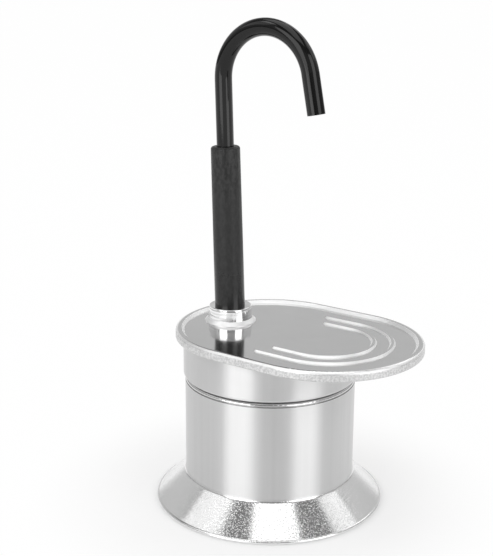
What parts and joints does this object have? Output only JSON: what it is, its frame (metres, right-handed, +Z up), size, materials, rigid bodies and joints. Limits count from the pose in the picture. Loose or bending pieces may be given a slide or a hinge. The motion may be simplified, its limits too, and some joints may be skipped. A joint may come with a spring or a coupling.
{
  "type": "stovetop espresso maker",
  "caption": "Small stovetop espresso maker: flared boiler, screw cap with a long cup platform, and a swan-neck spout that pours brewed coffee into a cup standing on the platform.",
  "frame": {"origin": "middle of the base's underside, on the boiler's axis", "axes": "+Z up along the boiler's axis, +X along the platform away from the spout's foot, +Y towards the safety valve at the back"},
  "size_m": [0.0968, 0.0812, 0.1692],
  "materials": {
    "satin_aluminium": "satin, brushed round the axis",
    "base_aluminium": "turned",
    "platform_aluminium": "smooth satin",
    "strainer_aluminium": "pressed sheet",
    "collar_chrome": "polished",
    "tube_black": "gloss black coating",
    "sleeve_grey": "satin dark grey",
    "gasket_rubber": "moulded",
    "seal_fibre": "flat seal",
    "valve_brass": "turned",
    "spring_steel": "wire"
  },
  "bodies": {
    "boiler": {"boiler_body": "satin_aluminium", "base_plate": "base_aluminium", "valve_body": "valve_brass", "valve_washer": "seal_fibre", "valve_lock_nut": "valve_brass", "valve_spring": "spring_steel", "valve_cap": "valve_brass"},
    "valve_pin": {"valve_poppet": "valve_brass"},
    "funnel": {"funnel_cup": "strainer_aluminium", "funnel_stem": "strainer_aluminium", "funnel_screen": "strainer_aluminium"},
    "seal": {"gasket": "gasket_rubber"},
    "filter": {"filter_plate": "strainer_aluminium"},
    "top": {"cap": "satin_aluminium", "platform": "platform_aluminium", "spout_collar": "collar_chrome", "collar_washer": "seal_fibre", "collar_lock_nut": "valve_brass", "spout_tube": "tube_black", "grip_sleeve": "sleeve_grey"}
  },
  "joints": [
    {"name": "lift_off", "type": "slide", "parent": "boiler", "child": "seal", "axis": [0, 0, 1], "range_m": [0, 0.11]},
    {"name": "thread_rise", "type": "slide", "parent": "seal", "child": "filter", "axis": [0, 0, 1], "range_m": [0, 0.00376]},
    {"name": "unscrew", "type": "hinge", "parent": "filter", "child": "top", "pos_m": [0, 0, 0.05], "axis": [0, 0, 1], "range_deg": [0, 900]},
    {"name": "funnel_lift", "type": "slide", "parent": "boiler", "child": "funnel", "axis": [0, 0, 1], "range_m": [0, 0.05]},
    {"name": "valve_lift", "type": "slide", "parent": "boiler", "child": "valve_pin", "axis": [0, 1, 0], "range_m": [0, 0.0012], "stiffness_N_per_m": 1500, "springref_m": -0.0014, "deforming": ["valve_spring"]}
  ],
  "couplings": [
    {"joint": "thread_rise", "follows": "unscrew", "m_per_rad": 0.00023873},
    {"joint": "funnel_lift", "follows": "lift_off", "ratio": 0.45}
  ]
}
